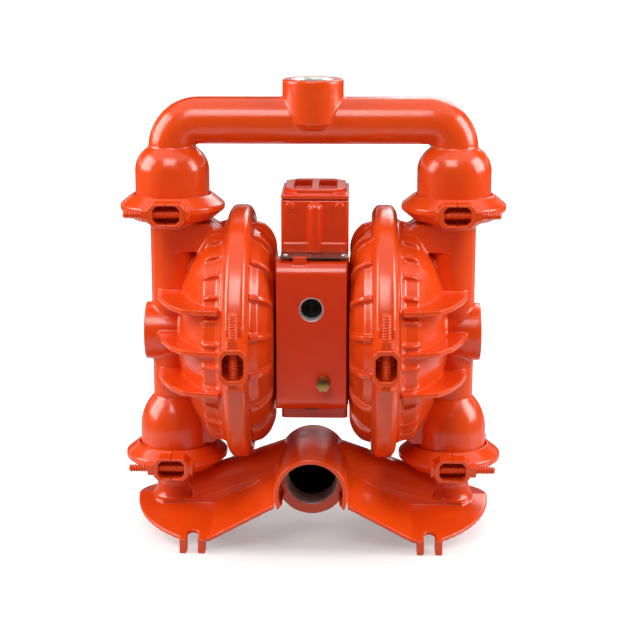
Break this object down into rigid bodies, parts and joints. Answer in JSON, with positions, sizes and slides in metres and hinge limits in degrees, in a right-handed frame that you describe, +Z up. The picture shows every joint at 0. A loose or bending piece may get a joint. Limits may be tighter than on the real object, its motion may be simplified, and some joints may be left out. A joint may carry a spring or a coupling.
{
  "type": "air operated diaphragm pump",
  "caption": "Clamped double diaphragm pump driven by compressed air, with ball valves, an inlet manifold with feet and a discharge manifold.",
  "frame": {"origin": "on the floor under the middle of the pump", "axes": "+Z up, +X along the shaft to the right seen from the air inlet, -Y towards the side with the air inlet and liquid inlet"},
  "size_m": [0.371, 0.29, 0.442],
  "materials": {
    "painted_casting": "glossy orange coating on a die casting",
    "painted_clamp": "glossy orange coating",
    "painted_fastener": "glossy orange coating over threads",
    "brass": "turned",
    "bare_steel": "bare",
    "piston_metal": "cast and turned",
    "seat_metal": "turned",
    "valve_metal": "hard anodised",
    "diaphragm_rubber": "moulded",
    "valve_rubber": "moulded",
    "bush_plastic": "turned acetal",
    "gasket": "sheet"
  },
  "bodies": {
    "root": {"air_chamber_left": "painted_casting", "air_chamber_right": "painted_casting", "air_chamber_screws": "bare_steel", "air_valve_body": "painted_casting", "air_valve_end_cap": "valve_metal", "air_valve_gasket": "gasket", "brass_plug": "brass", "centre_section": "painted_casting", "diaphragm_left": "diaphragm_rubber", "diaphragm_right": "diaphragm_rubber", "discharge_manifold": "painted_casting", "inlet_manifold": "painted_casting", "large_clamp_bolts": "painted_fastener", "large_clamp_lower_left": "painted_clamp", "large_clamp_lower_right": "painted_clamp", "large_clamp_nuts": "painted_fastener", "large_clamp_upper_left": "painted_clamp", "large_clamp_upper_right": "painted_clamp", "liquid_chamber_left": "painted_casting", "liquid_chamber_right": "painted_casting", "seat_seals": "valve_rubber", "shaft_bush": "bush_plastic", "shaft_seals": "valve_rubber", "small_clamp_bolts": "painted_fastener", "small_clamp_lower_inner_left": "painted_clamp", "small_clamp_lower_inner_right": "painted_clamp", "small_clamp_lower_outer_left": "painted_clamp", "small_clamp_lower_outer_right": "painted_clamp", "small_clamp_nuts": "painted_fastener", "small_clamp_upper_inner_left": "painted_clamp", "small_clamp_upper_inner_right": "painted_clamp", "small_clamp_upper_outer_left": "painted_clamp", "small_clamp_upper_outer_right": "painted_clamp", "steel_plate": "bare_steel", "steel_plate_screws": "bare_steel", "top_cap": "painted_casting", "top_cap_gasket": "gasket", "valve_seat_lower_left": "seat_metal", "valve_seat_lower_right": "seat_metal", "valve_seat_upper_left": "seat_metal", "valve_seat_upper_right": "seat_metal"},
    "shaft": {"main_shaft": "bare_steel", "inner_piston_left": "piston_metal", "inner_piston_right": "piston_metal", "outer_piston_left": "piston_metal", "outer_piston_right": "piston_metal"},
    "spool": {"air_valve_spool": "valve_metal"},
    "valve_ball_lower_left": {"valve_ball_lower_left": "valve_rubber"},
    "valve_ball_lower_right": {"valve_ball_lower_right": "valve_rubber"},
    "valve_ball_upper_left": {"valve_ball_upper_left": "valve_rubber"},
    "valve_ball_upper_right": {"valve_ball_upper_right": "valve_rubber"}
  },
  "joints": [
    {"name": "shaft_slide", "type": "slide", "parent": "root", "child": "shaft", "axis": [1, 0, 0], "range_m": [-0.012, 0.012], "deforming": ["diaphragm_left", "diaphragm_right"]},
    {"name": "spool_slide", "type": "slide", "parent": "root", "child": "spool", "axis": [0, 0, 1], "range_m": [0, 0.014]},
    {"name": "ball_lift_lower_left", "type": "slide", "parent": "root", "child": "valve_ball_lower_left", "axis": [0, 0, 1], "range_m": [0, 0.008]},
    {"name": "ball_lift_lower_right", "type": "slide", "parent": "root", "child": "valve_ball_lower_right", "axis": [0, 0, 1], "range_m": [0, 0.008]},
    {"name": "ball_lift_upper_left", "type": "slide", "parent": "root", "child": "valve_ball_upper_left", "axis": [0, 0, 1], "range_m": [0, 0.008]},
    {"name": "ball_lift_upper_right", "type": "slide", "parent": "root", "child": "valve_ball_upper_right", "axis": [0, 0, 1], "range_m": [0, 0.008]}
  ]
}
